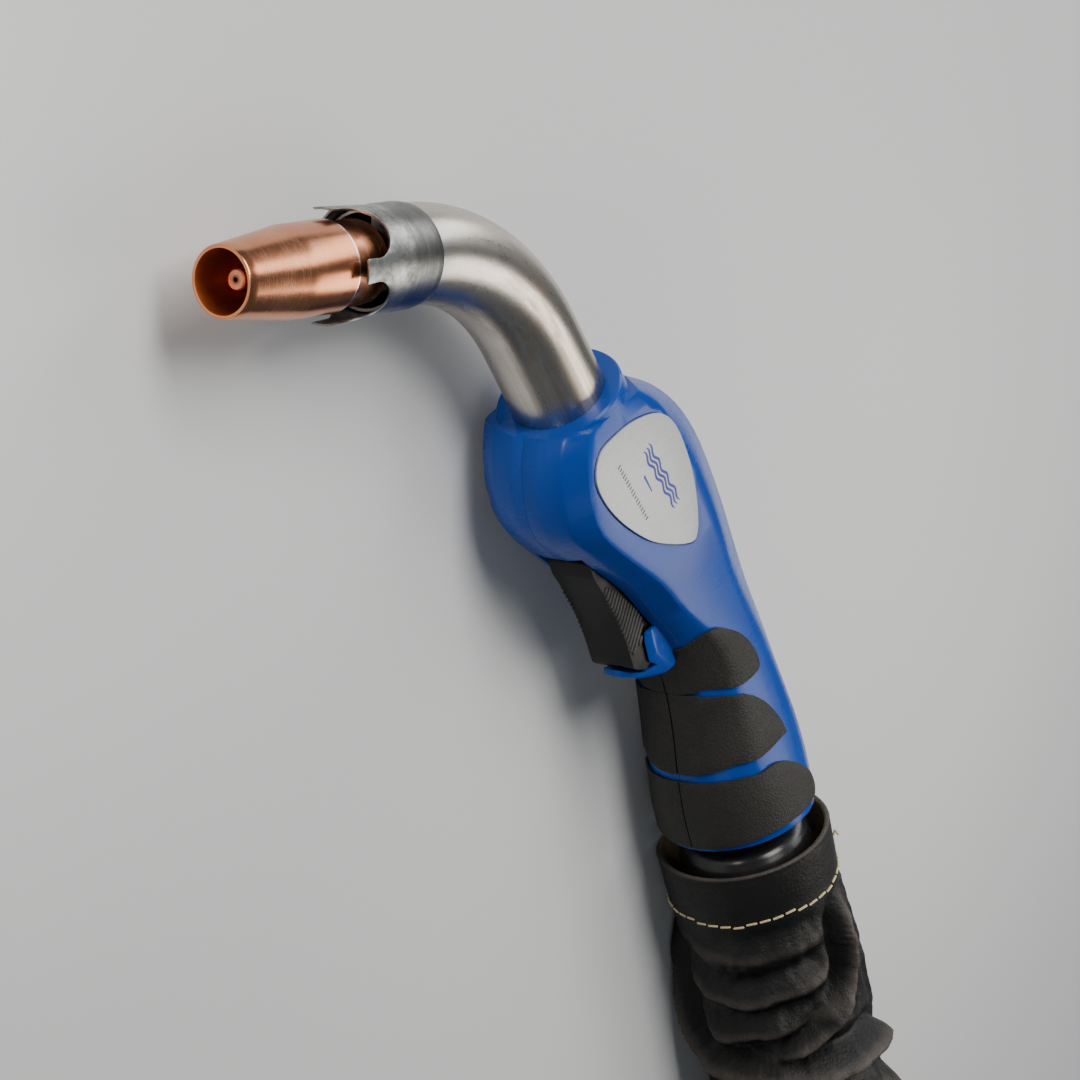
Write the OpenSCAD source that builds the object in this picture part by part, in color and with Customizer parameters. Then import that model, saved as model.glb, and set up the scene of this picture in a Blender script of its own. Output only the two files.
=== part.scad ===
// Fume extraction MIG welding torch, lying on its right side on the floor.
// The torch's plane of symmetry is level, at torch_z. Its nozzle points along -X, its top along +Y,
// and its left side faces up (+Z). The hose leaves along -Y and ends in its machine-side plug.

/* [Place] */
// Place of the collar centre along X, so that the torch is centred on the origin
collar_x = 32; // [25:0.1:40]
// Place of the collar centre along Y
collar_y = 48.1; // [40:0.1:60]
// Height of the plane of symmetry above the floor
torch_z = 24.4; // [24.4:0.1:27]

/* [Neck and nozzles] */
// Outside diameter of the suction neck tube
neck_od = 28; // [27:0.5:28]
// Wall of the suction neck tube
neck_wall = 1.2; // [1:0.1:1.5]
// Lean of the neck where it leaves the handle, in degrees
neck_lean = 15.5; // [14:0.5:17]
// Bend of the neck, in degrees
neck_bend = 51.8; // [48:0.1:54]
// Radius of the neck's bend
neck_radius = 74; // [70:1:80]
// Straight neck from the collar to the bend
neck_rise = 23; // [20:1:26]
// Distance from the end of the bend to the mouth of the gas nozzle
neck_to_mouth = 78; // [76:1:82]
// Radius of the gas nozzle's mouth
mouth_r = 10; // [9.5:0.1:10.5]
// Radius of the gas nozzle's body
nozzle_r = 12.8; // [12.4:0.1:13]
// Length of the gas nozzle in front of its shoulder
nozzle_len = 43.5; // [42:0.5:45]
// How far the contact tip sits inside the mouth
tip_recess = 6; // [6:0.5:8]
// Radius of the suction nozzle's front rim
skirt_r = 16; // [15.6:0.1:16.4]

/* [Handle] */
// Wall of the handle shells
shell_wall = 2.6; // [2.4:0.1:3]
// Radius of the collar ring's flat top
collar_r = 18.5; // [18:0.1:19]
// Stand-out of the rubber grip pads
pad_rise = 0.9; // [0.6:0.1:1.2]
// Half the width of the trigger
trigger_half = 7.4; // [7:0.1:7.6]
// Radius of the swivel ball
ball_r = 15.5; // [15:0.1:16]

/* [Hose] */
// Outside diameter of the suction hose
hose_d = 38; // [36:1:38]
// Radius of the coil, at the middle of the hose
coil_r = 182.5; // [180:0.5:190]

/* [Hidden] */
$fn = 64;

neck_r = neck_od / 2;
nozzle_lean = neck_lean + neck_bend;
hose_x = 35.5;
hose_r = hose_d / 2;
ball_y = -150;
far = 400;

// ---------- frames ----------
module torch_frame() {
    translate([collar_x, collar_y, torch_z]) children();
}

// Local Z runs up the neck at the collar
module collar_frame() {
    torch_frame() rotate([-90, 0, neck_lean]) children();
}

// Local Z runs towards the weld, and local 0 is where the bend ends
module nozzle_frame() {
    collar_frame() translate([0, 0, neck_rise])
        translate([-neck_radius, 0, 0]) rotate([0, -neck_bend, 0]) translate([neck_radius, 0, 0])
        children();
}

// Local 0 is the gas nozzle's mouth, and local Z runs out of it
module mouth_frame() {
    nozzle_frame() translate([0, 0, neck_to_mouth]) children();
}

// Local Z runs down the hose, and local 0 is level with the collar
module hose_frame() {
    torch_frame() translate([hose_x, 0, 0]) rotate([90, 0, 0]) children();
}

// A ring or rod turned from its outer and inner radius at each height
module turned(outside, bore_r = 0) {
    low = outside[0][1];
    high = outside[len(outside) - 1][1];
    rotate_extrude() polygon(concat([[bore_r, low]], outside, [[bore_r, high]]));
}

module pipe(outer_r, inner_r, from, to) {
    difference() {
        translate([0, 0, from]) cylinder(r = outer_r, h = to - from);
        translate([0, 0, from - 1]) cylinder(r = inner_r, h = to - from + 2);
    }
}

// A bent tube that follows the neck, from below the collar to past the bend
module neck_run(outer_r, inner_r, below, past) {
    collar_frame() pipe(outer_r, inner_r, -below, neck_rise);
    collar_frame() translate([-neck_radius, 0, neck_rise]) rotate([90, 0, 0])
        rotate_extrude(angle = neck_bend) translate([neck_radius, 0]) difference() {
            circle(r = outer_r);
            circle(r = inner_r);
        }
    nozzle_frame() pipe(outer_r, inner_r, 0, past);
}

// ---------- handle loft ----------
// Each station: front point x, y, back point x, y, half thickness, place in the list of sections
STATIONS = [
    [12, -162, 59, -162, 23.5, 0],
    [11.6, -150, 61, -149, 22, 0.3],
    [13, -136, 61.4, -134, 20.2, 0.7],
    [15.8, -120, 59.6, -117, 18.6, 1],
    [16.5, -106, 57.4, -103, 18, 1.1],
    [13.4, -92, 55, -91, 18, 1.5],
    [4.4, -77, 53, -77, 18.4, 1.95],
    [-3.8, -62, 51.6, -63, 19, 2],
    [-15.2, -47, 49.6, -49, 19, 2],
    [-24, -34, 46.6, -36, 19, 2],
    [-25.5, -22, 41, -24, 19, 2.1],
    [-22.4, -10.5, 31, -12.4, 19, 2.6],
    [-18.4, -3.8, 19.8, -3.6, 18.8, 3]];
loft_top = len(STATIONS) - 1;

// Sections: half width of the front, set-back and half height of its crease, set-back of the side's
// front crease, set-back of its back crease, half width of the back, and how far creases are rounded
SECTIONS = [
    [6.3, 6.3, 17.2, 17.2, 13.8, 9.7, 1],
    [4.5, 1.8, 9.6, 9.5, 13, 7, 0.62],
    [4.5, 2.2, 12, 7.4, 17, 8, 0.3],
    [4.5, 2, 12, 6.6, 7, 9, 0.3]];

// A smooth value between b and c, with a and d as the neighbours
function smooth(a, b, c, d, t) =
    (2 * b + (c - a) * t + (2 * a - 5 * b + 4 * c - d) * t * t + (3 * b - a - 3 * c + d) * t * t * t) / 2;

// A closed curve through points
function curve_through(points, steps) =
    let (n = len(points))
    [for (k = [0:n - 1], i = [0:steps - 1]) smooth(points[(k + n - 1) % n], points[k], points[(k + 1) % n],
        points[(k + 2) % n], i / steps)];

function station(u) =
    let (k = min(floor(u), loft_top - 1), t = u - k)
    [for (i = [0:5]) smooth(STATIONS[max(k - 1, 0)][i], STATIONS[k][i], STATIONS[k + 1][i],
        STATIONS[min(k + 2, loft_top)][i], t)];

function section(u) =
    let (v = max(0, min(u, 3)), k = min(floor(v), 2), t = v - k)
    SECTIONS[k] * (1 - t) + SECTIONS[k + 1] * t;

// Creases of a section with a half width and half thickness, from front to back and round to the front
function creases(wide, thick, c) =
    let (half = [[-wide, c[0]], [-wide + c[1], c[2]], [-wide + c[3], thick],
        [wide - c[4], thick], [wide, c[5]]])
    concat([for (p = half) [p.x, -p.y]], [for (i = [4:-1:0]) half[i]]);

function edge_out(a, b) = let (d = (b - a) / norm(b - a)) [d.y, -d.x];

// The creases moved outwards, or inwards when grow is negative
function grown(corners, grow) =
    let (n = len(corners))
    [for (i = [0:n - 1]) let (p = edge_out(corners[(i + n - 1) % n], corners[i]),
        q = edge_out(corners[i], corners[(i + 1) % n])) corners[i] + grow * (p + q) / (1 + p * q)];

// Three points of the rounding at each crease
function rounded(corners, share) =
    let (n = len(corners))
    [for (i = [0:n - 1], t = [1 / 6, 1 / 2, 5 / 6]) let (here = corners[i])
        let (a = share * (corners[(i + n - 1) % n] - here) / 2, b = share * (corners[(i + 1) % n] - here) / 2)
        here + a * (1 - t) * (1 - t) + b * t * t];

function loft_ring(s, grow) =
    let (middle = [s[0] + s[2], s[1] + s[3]] / 2, half = [s[2] - s[0], s[3] - s[1]] / 2)
    let (along = half / norm(half), c = section(s[5]))
    [for (p = rounded(grown(creases(norm(half), s[4], c), grow), c[6]))
        [middle.x + along.x * p.x, middle.y + along.y * p.x, p.y]];

// Closed skin over equal rings, wound from the first ring to the last
function skin_faces(rings, sides) = concat(
    [[for (j = [sides - 1:-1:0]) j]],
    [for (k = [0:rings - 2], j = [0:sides - 1], half = [0, 1])
        let (a = k * sides + j, b = k * sides + (j + 1) % sides)
        half == 0 ? [a, b, a + sides] : [b, b + sides, a + sides]],
    [[for (j = [0:sides - 1]) (rings - 1) * sides + j]]);

// The handle's skin between two places in the list of stations, in thirds of a station
module handle_loft(from, to, grow) {
    points = [for (k = [from:to]) each loft_ring(station(k / 3), grow)];
    torch_frame() polyhedron(points, skin_faces(to - from + 1, 30));
}

// Keeps the left half (side = 1) or the right half (side = -1) of what it holds
module half_of(side, gap = 0.05) {
    intersection() {
        children();
        torch_frame() translate([0, -60, side * (gap + 30)]) cube([260, 280, 60], center = true);
    }
}

// ---------- handle ----------
BADGE = [[18.3, -14.1], [24.5, -21.5], [27, -34.5], [26.3, -46.5], [23.3, -55.9], [18.6, -57.1], [5.4, -49.5],
    [-2.4, -42.3], [-9.5, -33.3], [-14, -24.7], [-15.2, -16.9], [-10.9, -10.9], [-3.2, -9.7], [7.1, -10.3]];

// The badge's bulged triangle, grown by an amount
module badge_outline(grow) {
    offset(r = grow, $fn = 32) polygon(curve_through(BADGE, 4));
}

SCREWS = [[-16.5, -25], [29, -32], [34, -74], [41, -103], [45, -129]];
TRIGGER_PIVOT = [-8, -50];

module handle_body() {
    handle_loft(0, 3 * loft_top, 0);
    collar_frame() turned([[collar_r + 0.5, -12], [collar_r + 0.5, -0.8], [collar_r, 0]]);
    finger_hook();
}

// The bowl below the trigger that the index finger rests on
module finger_hook() {
    torch_frame() hull() {
        for (z = [-7.5, 7.5]) translate([5, -87, z]) rotate([-90, 0, 0]) cylinder(r = 2, h = 7.5, $fn = 24);
        translate([11.5, -96.6, 0]) rotate([-90, 0, 0]) cylinder(r = 8, h = 15, $fn = 48);
        translate([0.3, -92.3, 0]) rotate([-90, 0, -28]) cylinder(r = 6, h = 2.2, center = true, $fn = 40);
    }
}

module trigger_slot_outline() {
    polygon([[-22, -47], [-16, -43.5], [-1, -43.5], [4, -52], [6, -62], [10.4, -73], [11, -82], [9.8, -88],
        [7.2, -91.2], [4, -92.2], [0.8, -92], [-3.2, -90], [-5.6, -88.2], [-12, -84], [-22, -60]]);
}

// A rod square to the handle's flat at a place, from the parting plane out to one side
module side_rod(place, side, radius, from, length) {
    torch_frame() translate([place.x, place.y, 0]) mirror([0, 0, side < 0 ? 1 : 0])
        translate([0, 0, from]) cylinder(r = radius, h = length);
}

// The left shell holds the threads of the screws and the right shell their heads
module handle_shell(side) {
    color("royalblue") half_of(side) difference() {
        handle_body();
        difference() {
            handle_loft(3, 3 * loft_top - 1, -shell_wall);
            for (s = SCREWS) side_rod(s, side, side > 0 ? 3.6 : 4.6, 0, 30);
            side_rod(TRIGGER_PIVOT, side, 3, 8.1, 20);
        }
        collar_frame() translate([0, 0, -50]) cylinder(r = neck_r + 0.06, h = 60);
        torch_frame() linear_extrude(height = 16.2, center = true) trigger_slot_outline();
        hose_frame() translate([0, 0, 143]) cylinder(r = 20.8, h = 15);
        hose_frame() translate([0, 0, 157]) cylinder(r = 18.6, h = 10);
        for (s = SCREWS) side_rod(s, side, side > 0 ? 1.25 : 1.75, -1, 15);
        if (side < 0) for (s = SCREWS) side_rod(s, side, 3.2, 13.05, 20);
        side_rod(TRIGGER_PIVOT, side, 1.52, 8, 2.2);
        torch_frame() mirror([0, 0, side < 0 ? 1 : 0]) translate([0, 0, 18.6])
            linear_extrude(height = 3) badge_outline(0.5);
    }
}

module shell_screws() {
    color("silver") torch_frame() for (s = SCREWS) translate([s.x, s.y, -15.9]) {
        difference() {
            cylinder(r = 2.9, h = 2.8);
            translate([0, 0, -1]) cylinder(r = 1.4, h = 2.6, $fn = 6);
        }
        translate([0, 0, 2.8]) cylinder(r = 1.2, h = 22);
    }
}

module badge(side) {
    color("lightgray") torch_frame() mirror([0, 0, side < 0 ? 1 : 0])
        translate([0, 0, 18.65]) linear_extrude(height = 0.75) badge_outline(0);
}

UPPER_PAD = [[4, -95.8], [13, -93.4], [18.2, -88], [22, -88.2], [25.4, -90], [31.6, -95], [36.4, -101.6],
    [38.2, -108], [36.6, -111], [28, -111], [21, -109], [18.2, -108.3], [16.6, -109.2],
    [4, -109.2]];
MIDDLE_PAD = [[4, -109.7], [16.6, -109.7], [18.2, -110.9], [21, -111.8], [28.8, -114.7], [35.5, -121],
    [39.8, -129], [40.8, -135], [38.6, -137.2], [30, -136], [19.5, -134.4], [4, -134.4]];
LOWER_PAD = [[4, -139], [17.6, -138.8], [25.6, -140], [31.8, -140.2], [38.4, -143.5], [44.2, -149],
    [48.2, -155], [49.4, -158.4], [47, -159.5], [24, -159.5], [4, -159.5]];

module grip_pad(outline, from, to, side) {
    color("dimgray") difference() {
        intersection() {
            handle_loft(from, to, pad_rise);
            torch_frame() mirror([0, 0, side < 0 ? 1 : 0]) translate([0, 0, 0.2])
                linear_extrude(height = 40) polygon(curve_through(outline, 3));
        }
        handle_loft(from - (from > 0 ? 1 : 0), to + 1, 0.02);
        finger_hook();
    }
}

// ---------- neck and nozzles ----------
module neck_tube() {
    color("lightgray") neck_run(neck_r, neck_r - neck_wall, 36, neck_to_mouth - 60);
}

module inner_neck() {
    color("goldenrod") neck_run(6, 3, 44, neck_to_mouth - 50);
}

module neck_insulation() {
    color("dimgray") neck_run(7.4, 6.05, 40, neck_to_mouth - 62);
}

// Three-legged ring that centres the inner neck in the tube
module neck_spacer() {
    color("ivory") nozzle_frame() translate([0, 0, 8]) difference() {
        union() {
            cylinder(r = 9, h = 5);
            for (turn = [0, 120, 240]) rotate(turn) translate([8, -1.5, 0.5]) cube([4.6, 3, 4]);
        }
        translate([0, 0, -1]) cylinder(r = 7.45, h = 7);
    }
}

// Insulating bush that the gas nozzle pushes onto
module nozzle_seat() {
    color("saddlebrown") mouth_frame() difference() {
        turned([[9.2, -61.5], [9.2, -54], [9.7, -53], [9.7, -36]], 6.05);
        translate([0, 0, -46.2]) cylinder(r = 7.06, h = 12);
        translate([0, 0, -50]) rotate_extrude() translate([9.2, 0]) square([2, 1.6]);
    }
}

module nozzle_spring() {
    color("silver") mouth_frame() translate([0, 0, -49.9]) pipe(9.68, 9.22, 0, 1.4);
}

module tip_holder() {
    color("goldenrod") mouth_frame() difference() {
        turned([[6, -50], [6, -46], [7, -45], [7, -33], [5.5, -31]], 1.4);
        for (turn = [0, 60, 120]) translate([0, 0, -39]) rotate([90, 0, turn])
            cylinder(r = 1, h = 20, center = true);
        translate([0, 0, -35]) cylinder(r = 3, h = 5);
    }
}

module contact_tip() {
    color("chocolate") mouth_frame() difference() {
        turned([[2.95, -34.9], [2.95, -31], [4, -31], [4, -tip_recess - 5], [3.1, -tip_recess - 0.6],
            [2.6, -tip_recess]], 0.65);
        for (side = [-1, 1]) translate([side * 5.4, 0, -24]) cube([4, 10, 8], center = true);
    }
}

module gas_nozzle() {
    shank_r = nozzle_r - 1.1;
    color("peru") mouth_frame() rotate_extrude() polygon([
        [mouth_r - 0.2, 0], [mouth_r, -0.4], [nozzle_r, -26], [nozzle_r, -nozzle_len + 0.8],
        [nozzle_r - 0.6, -nozzle_len], [shank_r, -nozzle_len], [shank_r, -nozzle_len - 13],
        [shank_r - 0.6, -nozzle_len - 13.6], [9.76, -nozzle_len - 13.6], [9.76, -40], [11.2, -38],
        [11.2, -26], [mouth_r - 1.1, 0]]);
}

// Steel skirt with round-ended cut-outs; its rear slides on the neck tube
module suction_nozzle() {
    front = -nozzle_len + 1.2;
    rear = -77.2;
    fit_r = neck_r + 0.05;
    color("gray") mouth_frame() difference() {
        rotate_extrude() polygon([
            [fit_r, rear], [fit_r + 0.35, rear], [fit_r + 0.8, rear + 3], [fit_r + 0.8, rear + 14],
            [skirt_r, front], [skirt_r - 0.7, front], [fit_r, rear + 14]]);
        for (turn = [0:90:270]) rotate(turn + 45) suction_cutout(front);
    }
}

module suction_cutout(front) {
    half_width = 8.6;
    depth = 13.4;
    translate([0, 0, front - depth + half_width]) rotate([-90, 0, 0]) cylinder(r = half_width, h = 20);
    translate([-half_width, 0, front - depth + half_width]) cube([2 * half_width, 20, depth]);
}

module wire_liner() {
    color("dimgray") neck_run(1.3, 0.8, 118, 25);
}

module cable_block() {
    color("goldenrod") collar_frame() difference() {
        union() {
            translate([0, 0, -62]) cylinder(r = 7.4, h = 17.9);
            translate([0, 0, -66]) cylinder(r = 9, h = 8, $fn = 6);
        }
        translate([0, 0, -67]) cylinder(r = 1.5, h = 24);
    }
}

// Short end of the welding cable inside the handle
module power_cable() {
    color("black") collar_frame() pipe(5.9, 1.5, -116, -66.05);
}

// ---------- trigger ----------
TRIGGER = [[-13, -47.6], [-12.2, -53], [-10.2, -58], [-7.4, -66], [-5.4, -75], [-4.7, -84], [-4.4, -87.4],
    [-3, -88.8], [1, -90.8], [4.4, -90], [5.5, -86], [5.9, -82], [6.2, -76],
    [3, -69], [-1, -61], [-3, -54], [-3.4, -48], [-8, -45.4]];
RIBS = [[-9.2, -59], [-5.4, -60.4], [-0.6, -68], [3.4, -75], [4, -80], [0.4, -84.4], [-3.4, -84.6], [-4.4, -76],
    [-6.4, -66.5]];

module trigger_lever() {
    color("black") torch_frame() difference() {
        linear_extrude(height = 2 * trigger_half, center = true)
            offset(r = 1.2, $fn = 24) offset(delta = -1.2) polygon(TRIGGER);
        translate([TRIGGER_PIVOT.x, TRIGGER_PIVOT.y, -10]) cylinder(r = 1.55, h = 20);
        translate([TRIGGER_PIVOT.x, TRIGGER_PIVOT.y, -3.4]) cylinder(r = 3.5, h = 6.8);
        translate([-7, -50, -3.4]) cube([3, 6, 6.8]);
    }
}

// Ribbed panels set on both sides of the trigger
module trigger_ribs() {
    color("gray") torch_frame() for (side = [0, 1]) mirror([0, 0, side])
        translate([0, 0, trigger_half]) linear_extrude(height = 0.5) polygon(RIBS);
}

module trigger_pin() {
    color("silver") torch_frame() translate([TRIGGER_PIVOT.x, TRIGGER_PIVOT.y, -10]) cylinder(r = 1.5, h = 20);
}

// Torsion spring round the trigger's pin; its leg bears on the roof of the trigger slot
module trigger_spring() {
    color("silver") torch_frame() translate([TRIGGER_PIVOT.x, TRIGGER_PIVOT.y, 0]) {
        pipe(2.7, 1.9, -3, 3);
        translate([2.3, 0, 2.4]) rotate([-90, 0, 0]) cylinder(r = 0.4, h = 6.4);
    }
}

SWITCH = [8.2, -84, -3.2];
PLUNGER_Y = -77;

module micro_switch() {
    color("black") torch_frame() difference() {
        translate(SWITCH) cube([5, 12, 6.4]);
        translate([SWITCH.x - 1, PLUNGER_Y, 0]) rotate([0, 90, 0]) cylinder(r = 1.3, h = 5);
    }
}

module switch_plunger() {
    color("firebrick") torch_frame() translate([6.5, PLUNGER_Y, 0]) rotate([0, 90, 0])
        cylinder(r = 1.25, h = 3.6);
}

module switch_leads() {
    color("firebrick") torch_frame() for (side = [0, 1]) mirror([0, 0, side])
        translate([12.4, -83.4, 2]) rotate([0, 78.7, -60.7]) cylinder(r = 0.8, h = 33);
}

// ---------- swivel and hose end ----------
module swivel_cup() {
    color("black") difference() {
        hose_frame() union() {
            translate([0, 0, 143.2]) cylinder(r = 20.75, h = 13.6);
            translate([0, 0, 156]) cylinder(r = 18.5, h = 5.5);
        }
        hose_frame() translate([0, 0, -ball_y]) sphere(r = ball_r + 0.06);
        hose_frame() translate([0, 0, 140]) cylinder(r = 12, h = 10);
        hose_frame() translate([0, 0, 155]) cylinder(r1 = 14, r2 = 17.4, h = 8);
    }
}

// Ball, glossy dome and hose tail in one moulding
module hose_ferrule() {
    color("black") hose_frame() difference() {
        union() {
            translate([0, 0, -ball_y]) sphere(r = ball_r);
            rotate_extrude() polygon([[0, 158], [11, 158], [11.4, 166.4], [14.6, 167.4], [18, 169.6], [20, 173],
                [20.4, 176], [20.4, 181], [16.2, 182], [16.2, 206], [0, 206]]);
        }
        translate([0, 0, 130]) cylinder(r = 9, h = 90);
    }
}

module hose_clamp() {
    color("silver") hose_frame() {
        pipe(hose_r + 0.95, hose_r + 0.05, 186, 195);
        translate([-4, hose_r + 0.6, 187]) cube([8, 2.6, 7]);
    }
}

// Leather protector; it lies flat where it meets the floor
module leather_sleeve() {
    color("dimgray") difference() {
        hose_frame() difference() {
            turned([[25.6, 171], [26.6, 172.5], [26.2, 190], [25.6, 194], [28.4, 203], [29.4, 214], [29.8, 232],
                [28.4, 262], [28.8, 300], [27, 350], [24.6, 366]]);
            translate([0, 0, 170]) cylinder(r = 24.6, h = 26);
            translate([0, 0, 190]) cylinder(r = hose_r + 0.3, h = 180);
        }
        translate([0, 0, -50]) cube([2 * far, 3 * far, 100], center = true);
    }
}

// The run from the ferrule to the coil, hand-laid
HOSE_ROUTE = [[35.5, -182.05, 24.4], [35.5, -210, 24.4], [35.5, -240, 24.4], [35.5, -270, 24.2],
    [35.5, -300, 23.4], [35.5, -330, 21.8], [35.5, -360, 20], [35.5, -400, 19.1], [35.5, -450, 19.1],
    [35.5, -496, 19.1]];
COIL_CENTRE = [35.5 - coil_r, -496];
// Last length of hose, on top of the coil: angle round the coil, radius and height above the floor
TAIL_STEPS = 18;
TAIL_TURN = 132;
TIGHT_R = 0.84 * coil_r;
TAIL_EASE = 75;

function coil_point(turn, height) =
    let (spot = turn < TAIL_EASE ? coil_r * [cos(turn), -sin(turn)]
        : (coil_r - TIGHT_R) * [cos(TAIL_EASE), -sin(TAIL_EASE)] + TIGHT_R * [cos(turn), -sin(turn)])
    [COIL_CENTRE.x + spot.x, COIL_CENTRE.y + spot.y, height];

function ease(t) = t <= 0 ? 0 : t >= 1 ? 1 : t * t * (3 - 2 * t);
function tail_height(turn) =
    1.5 * hose_d + hose_d * ease((turn + 54) / 54) + 9 * ease((turn - 60) / 60);
HOSE_TAIL = [for (k = [0:TAIL_STEPS]) let (turn = -54 + (TAIL_TURN + 54) * k / TAIL_STEPS)
    coil_point(turn, tail_height(turn))];
PLUG_START = HOSE_TAIL[TAIL_STEPS];
PLUG_HEADING = 270 - TAIL_TURN;

// A tube swept along points; the rings face along the route
function route_dir(route, k) =
    let (a = route[max(k - 1, 0)], b = route[min(k + 1, len(route) - 1)]) (b - a) / norm(b - a);
module swept_tube(route, radius, sides) {
    points = [for (k = [0:len(route) - 1]) let (d = route_dir(route, k), across = cross(d, [0, 0, 1]))
        let (flat = across / norm(across), up = cross(flat, d))
        for (j = [0:sides - 1]) let (q = 360 * j / sides) route[k] + radius * (cos(q) * flat + sin(q) * up)];
    polyhedron(points, skin_faces(len(route), sides));
}

module hose_tube() {
    color("dimgray") translate([collar_x, collar_y, 0]) difference() {
        swept_tube(HOSE_ROUTE, hose_r, 12);
        translate([hose_x, -180, torch_z]) rotate([90, 0, 0]) cylinder(r = 16.25, h = 27);
    }
}

module hose_coil() {
    color("dimgray") translate([collar_x + COIL_CENTRE.x, collar_y + COIL_CENTRE.y, 0]) rotate_extrude()
        polygon([[coil_r - hose_r, 8], [coil_r - hose_r + 8, 0], [coil_r + hose_r - 8, 0], [coil_r + hose_r, 8],
            [coil_r + hose_r, 2 * hose_d - 8], [coil_r + hose_r - 8, 2 * hose_d],
            [coil_r - hose_r + 8, 2 * hose_d], [coil_r - hose_r, 2 * hose_d - 8]]);
}

module hose_tail() {
    color("dimgray") difference() {
        translate([collar_x, collar_y, 0]) swept_tube(HOSE_TAIL, hose_r, 12);
        plug_frame() translate([-30, -30, 0.1]) cube([60, 60, 20]);
    }
}

// ---------- machine-side plug ----------
// Local Z runs from the hose to the machine, and local X points up
module plug_frame() {
    translate([collar_x, collar_y, 0]) translate(PLUG_START) rotate([0, 0, PLUG_HEADING])
        rotate([0, 90, 0]) rotate([0, 0, 180]) children();
}

HOUSING = [[19.2, 0.2], [22, 4], [26.6, 16], [27.4, 24], [27.4, 92], [26, 96]];

module rear_housing(side) {
    color("royalblue") plug_frame() intersection() {
        difference() {
            turned(HOUSING);
            turned([[16, -1], [17, 5], [23.6, 17], [24.8, 26], [24.8, 93.05]]);
            translate([0, 0, 90]) cylinder(r = 20, h = 10);
            translate([0, 0, 46]) rotate([0, 90, 0]) cylinder(r = 18, h = 40);
            for (z = [20, 84]) translate([-22, 0, z]) rotate([90, 0, 0])
                cylinder(r = 1.2, h = 60, center = true);
        }
        translate([0, side * 25.05, 50]) cube([80, 50, 120], center = true);
    }
}

module housing_screws() {
    color("silver") plug_frame() for (z = [20, 84]) translate([-22, 0, z]) rotate([90, 0, 0]) {
        translate([0, 0, 10]) cylinder(r = 2.4, h = 2);
        cylinder(r = 1.15, h = 22, center = true);
    }
}

module plug_body() {
    color("goldenrod") plug_frame() difference() {
        union() {
            translate([0, 0, 70]) cylinder(r = 9, h = 20);
            translate([0, 0, 86]) cylinder(r = 19.9, h = 14);
            translate([0, 0, 100]) cylinder(r = 14, h = 16);
            translate([0, 0, 116]) cylinder(r = 5, h = 22);
        }
        translate([0, 0, 69]) cylinder(r = 2.4, h = 80);
        for (y = [-9, 9]) translate([-2, y, 96]) cylinder(r = 1.55, h = 30);
        translate([9.5, 0, 96]) cylinder(r = 2, h = 30);
    }
}

module gas_nipple() {
    color("goldenrod") plug_frame() difference() {
        translate([9.5, 0, 104]) cylinder(r = 2, h = 22);
        translate([9.5, 0, 103]) cylinder(r = 1, h = 24);
    }
}

module contact_pin(y) {
    color("gold") plug_frame() translate([-2, y, 100]) {
        cylinder(r = 1.5, h = 20);
        translate([0, 0, 20]) sphere(r = 1.5);
    }
}

module coupling_nut() {
    color("black") plug_frame() difference() {
        union() {
            translate([0, 0, 96.4]) cylinder(r = 24, h = 26);
            for (turn = [0:30:330]) rotate(turn) translate([24, 0, 98]) cylinder(r = 2, h = 22);
        }
        translate([0, 0, 95]) cylinder(r = 19.98, h = 5.2);
        translate([0, 0, 100.2]) cylinder(r = 21, h = 30);
    }
}

// Stub for the extraction duct, standing up out of the housing
module suction_stub() {
    color("black") plug_frame() translate([0, 0, 46]) rotate([0, 90, 0]) difference() {
        union() {
            translate([0, 0, 17.5]) cylinder(r = 17.9, h = 13);
            translate([0, 0, 30]) cylinder(r = 21.2, h = 30);
        }
        translate([0, 0, 16]) cylinder(r = 16, h = 60);
    }
}

handle_shell(1);  // handle_shell_left
handle_shell(-1);  // handle_shell_right
badge(1);  // badge_left
badge(-1);  // badge_right
grip_pad(UPPER_PAD, 10, 18, 1);  // pad_upper_left
grip_pad(UPPER_PAD, 10, 18, -1);  // pad_upper_right
grip_pad(MIDDLE_PAD, 6, 13, 1);  // pad_middle_left
grip_pad(MIDDLE_PAD, 6, 13, -1);  // pad_middle_right
grip_pad(LOWER_PAD, 0, 7, 1);  // pad_lower_left
grip_pad(LOWER_PAD, 0, 7, -1);  // pad_lower_right
shell_screws();
neck_tube();
inner_neck();
neck_insulation();
neck_spacer();
nozzle_seat();
nozzle_spring();
tip_holder();
contact_tip();
gas_nozzle();
suction_nozzle();
wire_liner();
cable_block();
power_cable();
trigger_lever();
trigger_ribs();
trigger_pin();
trigger_spring();
micro_switch();
switch_plunger();
switch_leads();
swivel_cup();
hose_ferrule();
hose_clamp();
leather_sleeve();
hose_tube();
hose_coil();
hose_tail();
rear_housing(1);  // rear_housing_left
rear_housing(-1);  // rear_housing_right
housing_screws();
plug_body();
coupling_nut();
gas_nipple();
contact_pin(-9);  // contact_pin_a
contact_pin(9);  // contact_pin_b
suction_stub();
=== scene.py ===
import math

import bpy
from mathutils import Matrix, Vector, noise


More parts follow.
